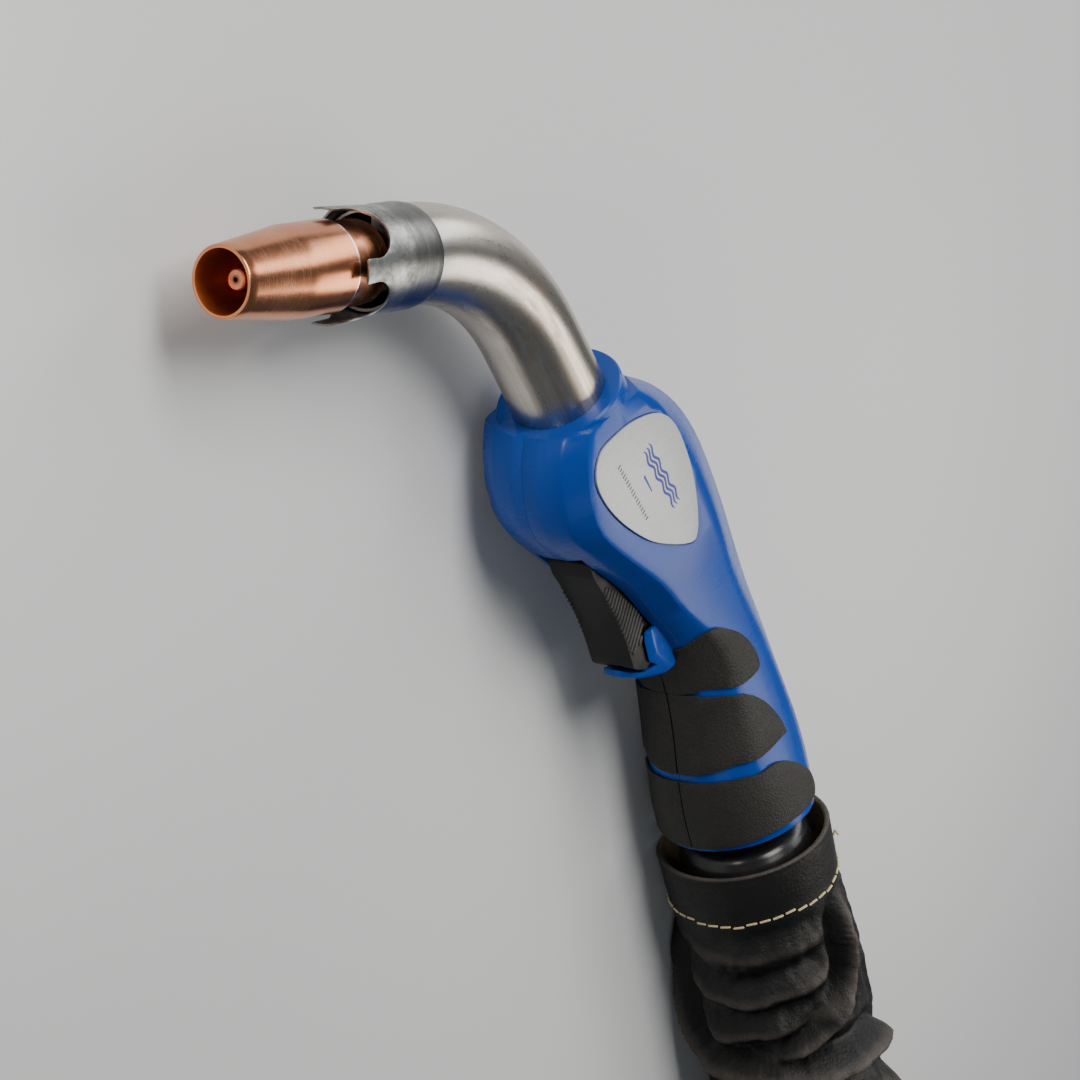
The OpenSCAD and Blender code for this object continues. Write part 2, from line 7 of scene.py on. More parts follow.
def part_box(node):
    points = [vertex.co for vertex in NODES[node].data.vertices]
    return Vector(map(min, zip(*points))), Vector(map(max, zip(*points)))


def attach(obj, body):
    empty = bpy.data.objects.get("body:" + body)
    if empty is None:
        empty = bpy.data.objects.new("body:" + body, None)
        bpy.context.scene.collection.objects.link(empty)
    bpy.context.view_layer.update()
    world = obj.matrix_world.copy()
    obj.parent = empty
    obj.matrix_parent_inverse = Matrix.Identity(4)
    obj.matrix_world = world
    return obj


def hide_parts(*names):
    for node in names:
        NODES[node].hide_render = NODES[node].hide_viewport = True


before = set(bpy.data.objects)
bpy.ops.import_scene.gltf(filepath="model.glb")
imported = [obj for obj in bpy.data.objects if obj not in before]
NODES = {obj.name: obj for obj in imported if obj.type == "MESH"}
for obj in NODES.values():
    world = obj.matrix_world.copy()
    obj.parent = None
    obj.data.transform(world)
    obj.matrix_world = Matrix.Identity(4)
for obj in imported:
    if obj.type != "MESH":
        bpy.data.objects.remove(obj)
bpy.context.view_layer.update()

MM = 0.001

# ---------- the torch's frames, as in the CAD ----------
cup_low, cup_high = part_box("swivel_cup")
HOSE_X = 35.5
COLLAR = Vector(((cup_low.x + cup_high.x) / 2 - HOSE_X * MM, cup_high.y + 143.2 * MM,
                 (cup_low.z + cup_high.z) / 2))
NECK_LEAN = math.radians(15.5)
NECK_BEND = math.radians(51.8)
NECK_RADIUS = 74
NECK_RISE = 23
NECK_TO_MOUTH = 78


def at(x, y, z=0):
    """A point given in millimetres from the collar's centre."""
    return COLLAR + Vector((x, y, z)) * MM


def shift(x, y, z):
    return Matrix.Translation(Vector((x, y, z)) * MM)


COLLAR_FRAME = (Matrix.Translation(COLLAR) @ Matrix.Rotation(NECK_LEAN, 4, "Z")
                @ Matrix.Rotation(-math.pi / 2, 4, "X"))
NOZZLE_FRAME = (COLLAR_FRAME @ shift(-NECK_RADIUS, 0, NECK_RISE) @ Matrix.Rotation(-NECK_BEND, 4, "Y")
                @ shift(NECK_RADIUS, 0, 0))
MOUTH_FRAME = NOZZLE_FRAME @ shift(0, 0, NECK_TO_MOUTH)


# ---------- camera ----------
def make_camera():
    towards = Vector((-0.6683, 0.4686, 0.5778)).normalized()
    up = Vector((0.5008, 0.8577, -0.1162))
    right = up.cross(towards).normalized()
    up = towards.cross(right)
    camera = bpy.data.objects.new("camera", bpy.data.cameras.new("camera"))
    camera.data.lens = 192.3
    camera.data.sensor_width = 36
    camera.data.clip_end = 20
    place = COLLAR + towards * 1.625 - right * 0.005 - up * 0.0411
    turn = Matrix((right, up, towards)).transposed().to_4x4()
    camera.matrix_world = Matrix.Translation(place) @ turn
    bpy.context.scene.collection.objects.link(camera)
    bpy.context.scene.camera = camera
    return towards, right, up


VIEW, RIGHT, UP = make_camera()


# ---------- mesh helpers ----------
def add_piece(name, points, faces, material, body, smooth=True):
    mesh = bpy.data.meshes.new(name)
    mesh.from_pydata([tuple(p) for p in points], [], faces)
    mesh.validate()
    piece = bpy.data.objects.new(name, mesh)
    bpy.context.scene.collection.objects.link(piece)
    piece.data.materials.append(material)
    if smooth:
        mesh.shade_smooth()
    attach(piece, body)
    return piece


def ring_faces(rings, sides, closed=True):
    """Quads between equal rings of points, and fans over both ends."""
    faces = []
    for k in range(rings - 1):
        for j in range(sides):
            a, b = k * sides + j, k * sides + (j + 1) % sides
            faces.append((a, b, b + sides, a + sides))
    if closed:
        faces.append(tuple(range(sides - 1, -1, -1)))
        faces.append(tuple(range((rings - 1) * sides, rings * sides)))
    return faces


def append_mesh(points, faces, new, quads):
    """Adds a mesh's points and faces to the lists of a larger one."""
    faces += [tuple(i + len(points) for i in quad) for quad in quads]
    points += new


def route_frames(route):
    """A tangent, a level side direction and an up direction at each point of a route."""
    frames = []
    for k, point in enumerate(route):
        before, after = route[max(k - 1, 0)], route[min(k + 1, len(route) - 1)]
        along = (after - before).normalized()
        side = along.cross(Vector((0, 0, 1))).normalized()
        frames.append((along, side, side.cross(along)))
    return frames


def resample(route, step):
    """Points every step metres along a polyline, both ends kept."""
    lengths = [0]
    for a, b in zip(route, route[1:]):
        lengths.append(lengths[-1] + (b - a).length)
    count = max(2, round(lengths[-1] / step))
    out, k = [], 0
    for i in range(count + 1):
        want = lengths[-1] * i / count
        while k < len(route) - 2 and lengths[k + 1] < want:
            k += 1
        t = (want - lengths[k]) / (lengths[k + 1] - lengths[k])
        out.append(route[k].lerp(route[k + 1], t))
    return out


# ---------- materials ----------
class Shader:
    """A material made of nodes round one Principled shader."""

    def __init__(self, name, **values):
        self.material = bpy.data.materials.new(name)
        self.material.use_nodes = True
        self.tree = self.material.node_tree
        self.shader = self.tree.nodes["Principled BSDF"]
        for key, value in values.items():
            self.shader.inputs[key.replace("_", " ")].default_value = value
        self.normal = None
        self.place = self.add("TexCoord").outputs["Object"]

    def add(self, kind, inputs=None, **settings):
        node = self.tree.nodes.new("ShaderNode" + kind)
        for key, value in settings.items():
            setattr(node, key, value)
        for key, value in (inputs or {}).items():
            if isinstance(value, bpy.types.NodeSocket):
                self.tree.links.new(value, node.inputs[key])
            else:
                node.inputs[key].default_value = value
        return node

    def in_frame(self, matrix):
        """Object coordinates measured in another frame."""
        node = self.add("Mapping", {"Vector": self.place}, vector_type="TEXTURE")
        node.inputs["Location"].default_value = matrix.translation
        node.inputs["Rotation"].default_value = matrix.to_euler("XYZ")
        return node.outputs["Vector"]

    def scaled(self, vector, x, y, z):
        return self.add("Mapping", {"Vector": vector, "Scale": (x, y, z)}).outputs["Vector"]

    def part(self, vector, axis):
        return self.add("SeparateXYZ", {"Vector": vector}).outputs[axis]

    def from_axis(self, vector):
        """Distance from the Z axis of a frame."""
        squares = [self.math("POWER", self.part(vector, axis), 2.0) for axis in "XY"]
        return self.math("SQRT", self.math("ADD", *squares))

    def noise(self, scale, detail=3.0, roughness=0.5, vector=None):
        return self.add("TexNoise", {"Vector": vector or self.place, "Scale": scale, "Detail": detail,
                                     "Roughness": roughness}).outputs["Fac"]

    def cells(self, scale):
        return self.add("TexVoronoi", {"Vector": self.place, "Scale": scale},
                        feature="F1").outputs["Distance"]

    def math(self, operation, a, b=0.0):
        return self.add("Math", {0: a, 1: b}, operation=operation).outputs[0]

    def span(self, value, low, high, to_low=0.0, to_high=1.0):
        return self.add("MapRange", {"Value": value, "From Min": low, "From Max": high, "To Min": to_low,
                                     "To Max": to_high}).outputs["Result"]

    def mix(self, amount, a, b):
        node = self.add("Mix", data_type="RGBA")
        for index, value in ((0, amount), (6, a), (7, b)):
            if isinstance(value, bpy.types.NodeSocket):
                self.tree.links.new(value, node.inputs[index])
            elif index == 0:
                node.inputs[0].default_value = value
            else:
                node.inputs[index].default_value = (*value, 1)
        return node.outputs[2]

    def set(self, socket, value):
        self.tree.links.new(value, self.shader.inputs[socket])

    def bump(self, height, strength, distance):
        node = self.add("Bump", {"Height": height, "Strength": strength, "Distance": distance})
        if self.normal:
            self.tree.links.new(self.normal, node.inputs["Normal"])
        self.normal = node.outputs["Normal"]
        self.set("Normal", self.normal)


def blue_plastic():
    look = Shader("moulded_blue_plastic", Specular_IOR_Level=0.2, Coat_Weight=0.06, Coat_Roughness=0.12)
    cloud = look.noise(28, 3)
    grain = look.noise(1900, 2)
    scuff = look.noise(9, 6, 0.7, look.scaled(look.place, 1, 7, 2))
    look.set("Base Color", look.mix(look.span(cloud, 0.3, 0.7), (0.0025, 0.042, 0.27), (0.0035, 0.054, 0.32)))
    look.set("Roughness", look.math("ADD", look.span(cloud, 0.2, 0.8, 0.2, 0.3),
                                    look.span(scuff, 0.5, 0.9, 0, 0.12)))
    look.bump(grain, 0.06, 0.00006)
    look.bump(look.noise(120, 2), 0.02, 0.0002)
    return look.material


def black_plastic(name="glossy_black_plastic", colour=(0.008, 0.008, 0.009), shine=0.2, gloss=0.5):
    look = Shader(name, Specular_IOR_Level=gloss)
    cloud = look.noise(60, 4)
    lighter = tuple(c * 1.9 + 0.002 for c in colour)
    look.set("Base Color", look.mix(look.span(cloud, 0.35, 0.75), colour, lighter))
    look.set("Roughness", look.span(look.noise(240, 4), 0.2, 0.8, shine, shine + 0.14))
    look.bump(look.noise(1500, 2), 0.1, 0.00008)
    return look.material


def grip_rubber():
    look = Shader("grained_grip_rubber", Specular_IOR_Level=0.28)
    grain = look.cells(1500)
    cloud = look.noise(70, 4)
    fine = look.noise(2600, 3, 0.6)
    tone = look.math("ADD", look.span(cloud, 0.25, 0.75, 0, 0.55), look.span(grain, 0.1, 0.6, 0, 0.45))
    look.set("Base Color", look.mix(tone, (0.011, 0.0105, 0.0095), (0.030, 0.0285, 0.0255)))
    look.set("Roughness", look.span(fine, 0.2, 0.8, 0.5, 0.72))
    look.bump(grain, 0.55, 0.00028)
    look.bump(fine, 0.3, 0.00012)
    return look.material


def badge_plate():
    look = Shader("satin_badge_plate", Metallic=0.35, Specular_IOR_Level=0.4)
    brush = look.noise(220, 4, 0.6, look.scaled(look.place, 1, 14, 1))
    look.set("Base Color", look.mix(look.span(brush, 0.3, 0.7), (0.40, 0.41, 0.42), (0.50, 0.51, 0.52)))
    look.set("Roughness", look.span(brush, 0.2, 0.8, 0.36, 0.5))
    look.bump(brush, 0.05, 0.00005)
    return look.material


def copper():
    """Turned copper, redder inside the bore, with painted light near the mouth and painted shade deeper down, and
    a painted highlight as a near-white band on the shoulder.
    """
    look = Shader("turned_copper", Metallic=1.0)
    local = look.in_frame(MOUTH_FRAME)
    along = look.part(local, "Z")
    radius = look.from_axis(local)
    rings = look.noise(1, 2, 0.5, look.scaled(local, 40, 40, 2600))
    cloud = look.noise(70, 5, 0.6)
    outer = look.mix(look.span(cloud, 0.3, 0.7), (0.60, 0.225, 0.105), (0.74, 0.32, 0.175))
    wall = look.math("SUBTRACT", look.span(along, -0.026, 0, 0.0126, 0.0096), radius)
    inside = look.math("MULTIPLY", look.span(wall, 0.0003, 0.0007), look.span(along, -0.0428, -0.0424))
    # bore colour: redder copper, with painted light near the mouth and painted shade deeper down
    painted_bore_light = look.span(along, -0.016, -0.0004)
    inner = look.mix(painted_bore_light, (0.75, 0.13, 0.03), (1.0, 0.36, 0.13))
    coloured = look.mix(inside, outer, inner)
    # painted highlight: a near-white band round the shoulder
    shoulder_highlight = look.math("MULTIPLY", look.span(along, -0.0442, -0.0438), look.span(along, -0.0422, -0.0425))
    look.set("Base Color", look.mix(shoulder_highlight, coloured, (0.95, 0.94, 0.92)))
    rough = look.math("ADD", look.span(rings, 0.2, 0.8, 0.19, 0.27), look.span(cloud, 0.4, 0.9, 0, 0.1))
    look.set("Roughness", look.math("ADD", rough, look.math("MULTIPLY", inside, 0.18)))
    look.bump(rings, 0.02, 0.00003)
    return look.material


def neck_steel():
    """Satin tube with streaks along it, brownish streaks on its underside towards the collar, and a blue heat
    tint below.
    """
    look = Shader("satin_neck_steel", Metallic=1.0, Anisotropic=0.25)
    along = look.add("Attribute", attribute_name="along").outputs["Fac"]
    around = look.add("Attribute", attribute_name="around").outputs["Fac"]
    streak_place = look.add("CombineXYZ", {"X": look.math("MULTIPLY", along, 9.0),
                                           "Y": look.math("MULTIPLY", around, 46.0)}).outputs["Vector"]
    streaks = look.noise(1.0, 5, 0.6, streak_place)
    speckle = look.noise(900, 4, 0.7)
    cloud = look.noise(38, 5, 0.6)
    steel = look.mix(look.span(cloud, 0.3, 0.75), (0.50, 0.46, 0.405), (0.63, 0.585, 0.52))
    steel = look.mix(look.span(streaks, 0.35, 0.75, 0, 0.18), steel, (0.44, 0.40, 0.34))
    below = look.math("MULTIPLY", look.span(around, 0.48, 0.6), look.span(around, 0.92, 0.8))
    heat = look.math("MULTIPLY", below, look.span(along, 0.8, 1.0))
    blued = look.math("MULTIPLY", heat, look.span(cloud, 0.3, 0.6, 0.25, 0.6))
    steel = look.mix(blued, steel, (0.10, 0.12, 0.24))
    # brownish streaks on the underside, strongest towards the collar
    brown_underside_streaks = look.math("MULTIPLY", look.span(along, 0.75, 0.35), look.span(streaks, 0.42, 0.6))
    brown_underside_streaks = look.math("MULTIPLY", below, brown_underside_streaks)
    steel = look.mix(look.math("MULTIPLY", brown_underside_streaks, 0.4), steel, (0.34, 0.21, 0.13))
    look.set("Base Color", steel)
    look.set("Roughness", look.math("ADD", look.span(streaks, 0.3, 0.8, 0.25, 0.36),
                                    look.span(speckle, 0.5, 0.9, 0, 0.1)))
    look.bump(streaks, 0.05, 0.0002)
    look.bump(speckle, 0.05, 0.00005)
    return look.material


def skirt_steel():
    """Mottled sheet with a darker rear band, brushed round the tube, and a blue tint below."""
    look = Shader("mottled_skirt_steel", Metallic=1.0)
    local = look.in_frame(MOUTH_FRAME)
    along = look.part(local, "Z")
    lower = look.span(look.part(local, "X"), -0.004, -0.015)
    mottle = look.noise(150, 7, 0.75)
    speckle = look.noise(1100, 4, 0.7)
    brush = look.noise(1, 4, 0.6, look.scaled(local, 60, 60, 2400))
    steel = look.mix(look.span(mottle, 0.35, 0.68), (0.13, 0.135, 0.13), (0.47, 0.475, 0.455))
    rear = look.span(along, -0.0625, -0.0655)
    band = look.mix(look.span(brush, 0.3, 0.7), (0.05, 0.05, 0.048), (0.20, 0.20, 0.19))
    steel = look.mix(look.math("MULTIPLY", rear, 0.8), steel, band)
    tint = look.math("MULTIPLY", lower, look.span(along, -0.05, -0.066))
    tint = look.math("MULTIPLY", tint, look.span(mottle, 0.35, 0.55, 0.4, 1))
    steel = look.mix(tint, steel, (0.04, 0.09, 0.33))
    look.set("Base Color", steel)
    look.set("Roughness", look.math("ADD", look.span(mottle, 0.3, 0.7, 0.42, 0.24),
                                    look.span(speckle, 0.4, 0.9, 0, 0.15)))
    look.bump(look.math("ADD", look.math("MULTIPLY", brush, 0.5), speckle), 0.15, 0.00007)
    return look.material


def turned_metal(name, dark, light, rough=0.24):
    look = Shader(name, Metallic=1.0)
    cloud = look.noise(90, 5, 0.6)
    fine = look.noise(1400, 3)
    look.set("Base Color", look.mix(look.span(cloud, 0.3, 0.7), dark, light))
    look.set("Roughness", look.span(fine, 0.2, 0.8, rough, rough + 0.14))
    look.bump(fine, 0.08, 0.00005)
    return look.material


def copper_tip():
    """Drawn copper, its face turned in fine rings, with painted shade round the bore."""
    look = Shader("turned_copper_tip", Metallic=1.0)
    local = look.in_frame(MOUTH_FRAME)
    radius = look.from_axis(local)
    cloud = look.noise(160, 4, 0.6)
    skin = look.mix(look.span(cloud, 0.3, 0.7), (0.55, 0.19, 0.09), (0.80, 0.36, 0.22))
    # painted shade: the face darkened round the bore
    bore_shade = look.span(radius, 0.0016, 0.0008)
    look.set("Base Color", look.mix(look.math("MULTIPLY", bore_shade, 0.8), skin, (0.09, 0.03, 0.02)))
    look.set("Roughness", look.span(cloud, 0.2, 0.8, 0.2, 0.34))
    look.bump(look.math("SINE", look.math("MULTIPLY", radius, 9000.0)), 0.25, 0.00012)
    return look.material


def matte_plastic(name, dark, light, rough=0.45):
    look = Shader(name)
    cloud = look.noise(120, 4)
    look.set("Base Color", look.mix(look.span(cloud, 0.3, 0.7), dark, light))
    look.set("Roughness", look.span(look.noise(700, 3), 0.2, 0.8, rough, rough + 0.2))
    look.bump(look.noise(1200, 3), 0.15, 0.0001)
    return look.material


def leather():
    """Soft black leather: fine grain and creases; paler ridges, partly wear and partly painted highlight; painted
    shade in the creases; tan suede inside.
    """
    look = Shader("grained_leather", Specular_IOR_Level=0.3)
    wear_highlight_and_crease_shade = look.add("Attribute", attribute_name="wear_highlight_and_crease_shade").outputs["Fac"]
    suede = look.add("Attribute", attribute_name="suede").outputs["Fac"]
    grain = look.cells(900)
    pores = look.cells(2300)
    cloud = look.noise(45, 6, 0.6)
    patchy = look.span(look.noise(120, 5, 0.65), 0.3, 0.65, 0.45, 1.0)
    wear_and_highlight = look.math("MULTIPLY", look.span(wear_highlight_and_crease_shade, 0.0, 1.0), patchy)
    skin = look.mix(look.span(cloud, 0.3, 0.7), (0.0032, 0.0032, 0.0032), (0.0085, 0.0082, 0.0078))
    # painted shade: the creases beside the folds darkened
    skin = look.mix(look.span(wear_highlight_and_crease_shade, -0.1, -0.7), skin, (0.0012, 0.0012, 0.0012))
    # paler ridges: wear and a painted highlight
    skin = look.mix(wear_and_highlight, skin, (0.082, 0.068, 0.057))
    nap = look.noise(1700, 4, 0.7)
    tan = look.mix(look.span(nap, 0.3, 0.7), (0.17, 0.12, 0.058), (0.33, 0.25, 0.13))
    look.set("Base Color", look.mix(suede, skin, tan))
    polished = look.math("ADD", look.span(cloud, 0.2, 0.8, 0.40, 0.56), look.span(grain, 0, 0.7, 0, 0.08))
    look.set("Roughness", look.math("ADD", polished, look.math("MULTIPLY", suede, 0.4)))
    look.bump(look.noise(150, 5, 0.6), 0.25, 0.0012)
    look.bump(look.math("ADD", grain, look.math("MULTIPLY", pores, 0.6)), 0.35, 0.0003)
    return look.material


def hose_plastic():
    look = Shader("corrugated_hose", Specular_IOR_Level=0.4)
    dust = look.noise(60, 6, 0.65)
    look.set("Base Color", look.mix(look.span(dust, 0.35, 0.75), (0.018, 0.019, 0.020), (0.045, 0.046,
                                                                                         0.048)))
    look.set("Roughness", look.span(dust, 0.2, 0.8, 0.38, 0.6))
    look.bump(look.noise(1100, 3), 0.15, 0.0001)
    return look.material


def thread():
    look = Shader("waxed_thread", Sheen_Weight=0.3)
    twist = look.noise(2600, 2)
    look.set("Base Color", look.mix(look.span(twist, 0.3, 0.7), (0.42, 0.33, 0.16), (0.66, 0.56, 0.33)))
    look.set("Roughness", look.span(twist, 0.2, 0.8, 0.6, 0.85))
    look.bump(twist, 0.5, 0.0002)
    return look.material


def floor_paint():
    look = Shader("pale_floor", Roughness=0.7)
    cloud = look.noise(3, 3)
    look.set("Base Color", look.mix(cloud, (0.60, 0.61, 0.62), (0.66, 0.665, 0.67)))
    return look.material


MATERIALS = {
    "blue": blue_plastic(),
    "black": black_plastic(),
    "trigger": black_plastic("satin_black_plastic", (0.004, 0.004, 0.0045), 0.34, 0.16),
    "ribs": matte_plastic("ribbed_dark_plastic", (0.022, 0.022, 0.021), (0.040, 0.039, 0.036), 0.5),
    "rubber": grip_rubber(),
    "badge": badge_plate(),
    "ink": matte_plastic("printed_blue_ink", (0.012, 0.02, 0.22), (0.02, 0.04, 0.32), 0.4),
    "dark_ink": matte_plastic("printed_dark_ink", (0.02, 0.025, 0.035), (0.04, 0.045, 0.06), 0.4),
    "copper": copper(),
    "neck": neck_steel(),
    "skirt": skirt_steel(),
    "tip": copper_tip(),
    "brass": turned_metal("machined_brass", (0.60, 0.40, 0.15), (0.76, 0.55, 0.24)),
    "steel": turned_metal("plated_steel", (0.55, 0.55, 0.56), (0.70, 0.70, 0.70)),
    "gold": turned_metal("gilt_pins", (0.80, 0.58, 0.22), (0.90, 0.70, 0.32), 0.16),
    "insulation": matte_plastic("glass_sleeve", (0.10, 0.095, 0.085), (0.16, 0.15, 0.135), 0.6),
    "seat": matte_plastic("moulded_insulator", (0.10, 0.035, 0.015), (0.16, 0.06, 0.025)),
    "ivory": matte_plastic("pale_insulator", (0.60, 0.57, 0.48), (0.72, 0.70, 0.62)),
    "red": matte_plastic("red_plastic", (0.30, 0.012, 0.008), (0.42, 0.02, 0.012)),
    "cable": matte_plastic("cable_rubber", (0.010, 0.010, 0.010), (0.022, 0.022, 0.022), 0.5),
    "leather": leather(),
    "hose": hose_plastic(),
    "thread": thread(),
}

NODE_LOOKS = {
    "blue": ["handle_shell_left", "handle_shell_right", "rear_housing_left", "rear_housing_right"],
    "badge": ["badge_left", "badge_right"],
    "rubber": [n for n in NODES if n.startswith("pad_")],
    "steel": ["shell_screws", "nozzle_spring", "trigger_pin", "trigger_spring", "hose_clamp",
              "housing_screws"],
    "brass": ["inner_neck", "tip_holder", "cable_block", "plug_body", "gas_nipple"],
    "gold": ["contact_pin_a", "contact_pin_b"],
    "insulation": ["neck_insulation"],
    "ivory": ["neck_spacer"],
    "seat": ["nozzle_seat"],
    "tip": ["contact_tip"],
    "copper": ["gas_nozzle"],
    "skirt": ["suction_nozzle"],
    "cable": ["wire_liner", "power_cable"],
    "trigger": ["trigger_lever", "micro_switch"],
    "red": ["switch_plunger", "switch_leads"],
    "black": ["swivel_cup", "hose_ferrule", "coupling_nut", "suction_stub"],
}


def finish_cad_node(node, material, bevel):
    """Gives a carried-over node its material, rounded edges and smooth shading."""
    node.data.materials.clear()
    node.data.materials.append(material)
    node.data.shade_smooth()
    weld = node.modifiers.new("weld", "WELD")
    weld.merge_threshold = 0.000004
    if bevel:
        edge = node.modifiers.new("edge", "BEVEL")
        edge.width = bevel * MM
        edge.segments = 3
        edge.limit_method = "ANGLE"
        edge.angle_limit = math.radians(38)
        edge.use_clamp_overlap = True
    split = node.modifiers.new("split", "EDGE_SPLIT")
    split.split_angle = math.radians(30)


BEVELS = {"handle_shell_left": 0.5, "handle_shell_right": 0.5, "badge_left": 0.12, "badge_right": 0.12,
          "trigger_lever": 0.5, "rear_housing_left": 0.5, "rear_housing_right": 0.5, "coupling_nut": 0.3,
          "suction_stub": 0.4, "hose_ferrule": 0.3, "gas_nozzle": 0.12, "contact_tip": 0.12,
          "suction_nozzle": 0.1,
          "swivel_cup": 0.2, "plug_body": 0.3, "shell_screws": 0.12, "housing_screws": 0.12}


def dress_cad_nodes():
    for key, names in NODE_LOOKS.items():
        for name in names:
            bevel = 0.3 if name.startswith("pad_") else BEVELS.get(name, 0)
            finish_cad_node(NODES[name], MATERIALS[key], bevel)


# ---------- the hose: run, two turns of coil, and the end that lies on them ----------
HOSE_RADIUS = 0.019
COIL_RADIUS = 0.1825
TIGHT_RADIUS = 0.84 * COIL_RADIUS
TAIL_TURN = 132
TAIL_EASE = 75
FIRST_RUN = [(35.5, -182.05, 24.4), (35.5, -210, 24.4), (35.5, -240, 24.4), (35.5, -270, 24.2), (35.5, -300,
                                                                                                 23.4),
             (35.5, -330, 21.8), (35.5, -360, 20), (35.5, -400, 19.1), (35.5, -450, 19.1), (35.5, -496, 19.1)]
COIL_CENTRE = COLLAR + Vector((0.0355 - COIL_RADIUS, -0.496, 0))


def ease(t):
    t = min(max(t, 0), 1)
    return t * t * (3 - 2 * t)


def coil_point(degrees):
    """A point of the hose, so many degrees round from where it reaches the coil."""
    lap = degrees % 360
    height = HOSE_RADIUS + 2 * HOSE_RADIUS * (degrees // 360) + 2 * HOSE_RADIUS * ease((lap - 306) / 54)
    spot = COIL_RADIUS * Vector((math.cos(math.radians(lap)), -math.sin(math.radians(lap))))
    if degrees > 720:
        height = 0.095 + 0.009 * ease((lap - 60) / 60)
        if lap > TAIL_EASE:
            bend, now = math.radians(TAIL_EASE), math.radians(lap)
            spot = ((COIL_RADIUS - TIGHT_RADIUS) * Vector((math.cos(bend), -math.sin(bend)))
                    + TIGHT_RADIUS * Vector((math.cos(now), -math.sin(now))))
    return Vector((COIL_CENTRE.x + spot.x, COIL_CENTRE.y + spot.y, height))


def hose_route():
    run = [Vector((COLLAR.x + x * MM, COLLAR.y + y * MM, z * MM)) for x, y, z in FIRST_RUN]
    return run + [coil_point(3 * k) for k in range(1, (720 + TAIL_TURN) // 3 + 1)]


def make_hose():
    route = resample(hose_route(), 0.0016)
    sides = 22
    points = []
    for k, (point, (along, side, up)) in enumerate(zip(route, route_frames(route))):
        wave = 0.5 + 0.5 * math.cos(k * 2 * math.pi / 4)
        radius = HOSE_RADIUS - 0.0013 * (1 - wave)
        for j in range(sides):
            q = 2 * math.pi * j / sides
            points.append(point + radius * (math.cos(q) * side + math.sin(q) * up))
    hose = add_piece("suction_hose", points, ring_faces(len(route), sides), MATERIALS["hose"], "hose")
    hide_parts("hose_tube", "hose_coil", "hose_tail")


make_hose()


# ---------- leather sleeve ----------
# Folds across the sleeve: (degrees round the hose, millimetres below the collar) along each crest
FOLDS = [
    {"line": [(262, 196), (240, 200), (228, 212), (218, 226), (205, 235), (189, 238), (149, 240), (121, 242),
              (93, 243), (66, 245), (50, 252), (40, 262)], "height": 5.4, "width": 3.4, "droop": 2.6},
    {"line": [(58, 186), (72, 190), (82, 198), (86, 208), (94, 219), (115, 227), (137, 232), (156, 234),
              (172, 231)],
     "height": 4.4, "width": 3.0, "droop": 2.0},
    {"line": [(215, 193), (194, 196), (160, 198), (137, 198), (109, 198), (94, 197)],
     "height": 1.6, "width": 4.0, "droop": 1.2},
    {"line": [(214, 206), (194, 210), (165, 213), (143, 212), (111, 210), (98, 206)],
     "height": 2.2, "width": 3.6, "droop": 1.6},
    {"line": [(205, 222), (190, 226), (160, 225), (134, 224), (109, 222), (100, 219)],
     "height": 2.0, "width": 3.2, "droop": 1.6},
    {"line": [(20, 205), (0, 212), (330, 220), (300, 214), (280, 206)], "height": 3.0, "width": 4.5,
     "droop": 2.0},
    {"line": [(40, 232), (10, 236), (340, 244), (310, 246), (280, 240), (255, 232)],
     "height": 3.2, "width": 4.5, "droop": 2.0},
    {"line": [(230, 262), (200, 268), (165, 270), (130, 272), (95, 276), (70, 284)],
     "height": 3.4, "width": 5.0, "droop": 2.4},
    {"line": [(110, 256), (80, 260), (50, 270), (20, 276), (350, 272), (320, 266)],
     "height": 3.0, "width": 5.0, "droop": 2.0},
    {"line": [(250, 290), (220, 294), (180, 298), (140, 300), (100, 304), (60, 306), (20, 302)],
     "height": 3.0, "width": 5.5, "droop": 2.2},
    {"line": [(200, 322), (160, 326), (120, 330), (80, 328), (40, 326), (0, 322), (330, 318)],
     "height": 2.8, "width": 5.5, "droop": 2.0},
]
# How far from its crest a fold still shapes the leather, in millimetres
FOLD_REACH = 16
SLEEVE_TOP = 171
SLEEVE_END = 366
PROFILE = [(171, 25.9), (173, 26.5), (180, 26.4), (187, 26.0), (192, 25.6), (197, 25.9), (205, 26.6), (220,
                                                                                                       27.0),
           (240, 27.4), (260, 27.0), (300, 26.8), (340, 26.0), (360, 24.6), (366, 23.6)]


def table_value(rows, x):
    for (x0, y0), (x1, y1) in zip(rows, rows[1:]):
        if x <= x1:
            t = (x - x0) / (x1 - x0)
            return y0 + (y1 - y0) * t * t * (3 - 2 * t)
    return rows[-1][1]


def fold_samples():
    """Each fold's crest as closely spaced points, its height easing to nothing at both ends."""
    out = []
    for fold in FOLDS:
        line = list(fold["line"])
        flat = [line[0]]
        for angle, down in line[1:]:
            previous = flat[-1][0]
            turn = (angle - previous + 180) % 360 - 180
            flat.append((previous + turn, down))
        crest = []
        for k in range(len(flat) - 1):
            a, b, c, d = flat[max(k - 1, 0)], flat[k], flat[k + 1], flat[min(k + 2, len(flat) - 1)]
            for i in range(10):
                t = i / 10
                crest.append(tuple((2 * b[n] + (c[n] - a[n]) * t + (2 * a[n] - 5 * b[n] + 4 * c[n] - d[n]) * t * t
                                    + (3 * b[n] - a[n] - 3 * c[n] + d[n]) * t ** 3) / 2 for n in (0, 1)))
        crest.append(flat[-1])
        count = len(crest) - 1
        out.append((fold, [(q, s, min(1, 5 * i / count, 5 * (count - i) / count))
                           for i, (q, s) in enumerate(crest)]))
    return out


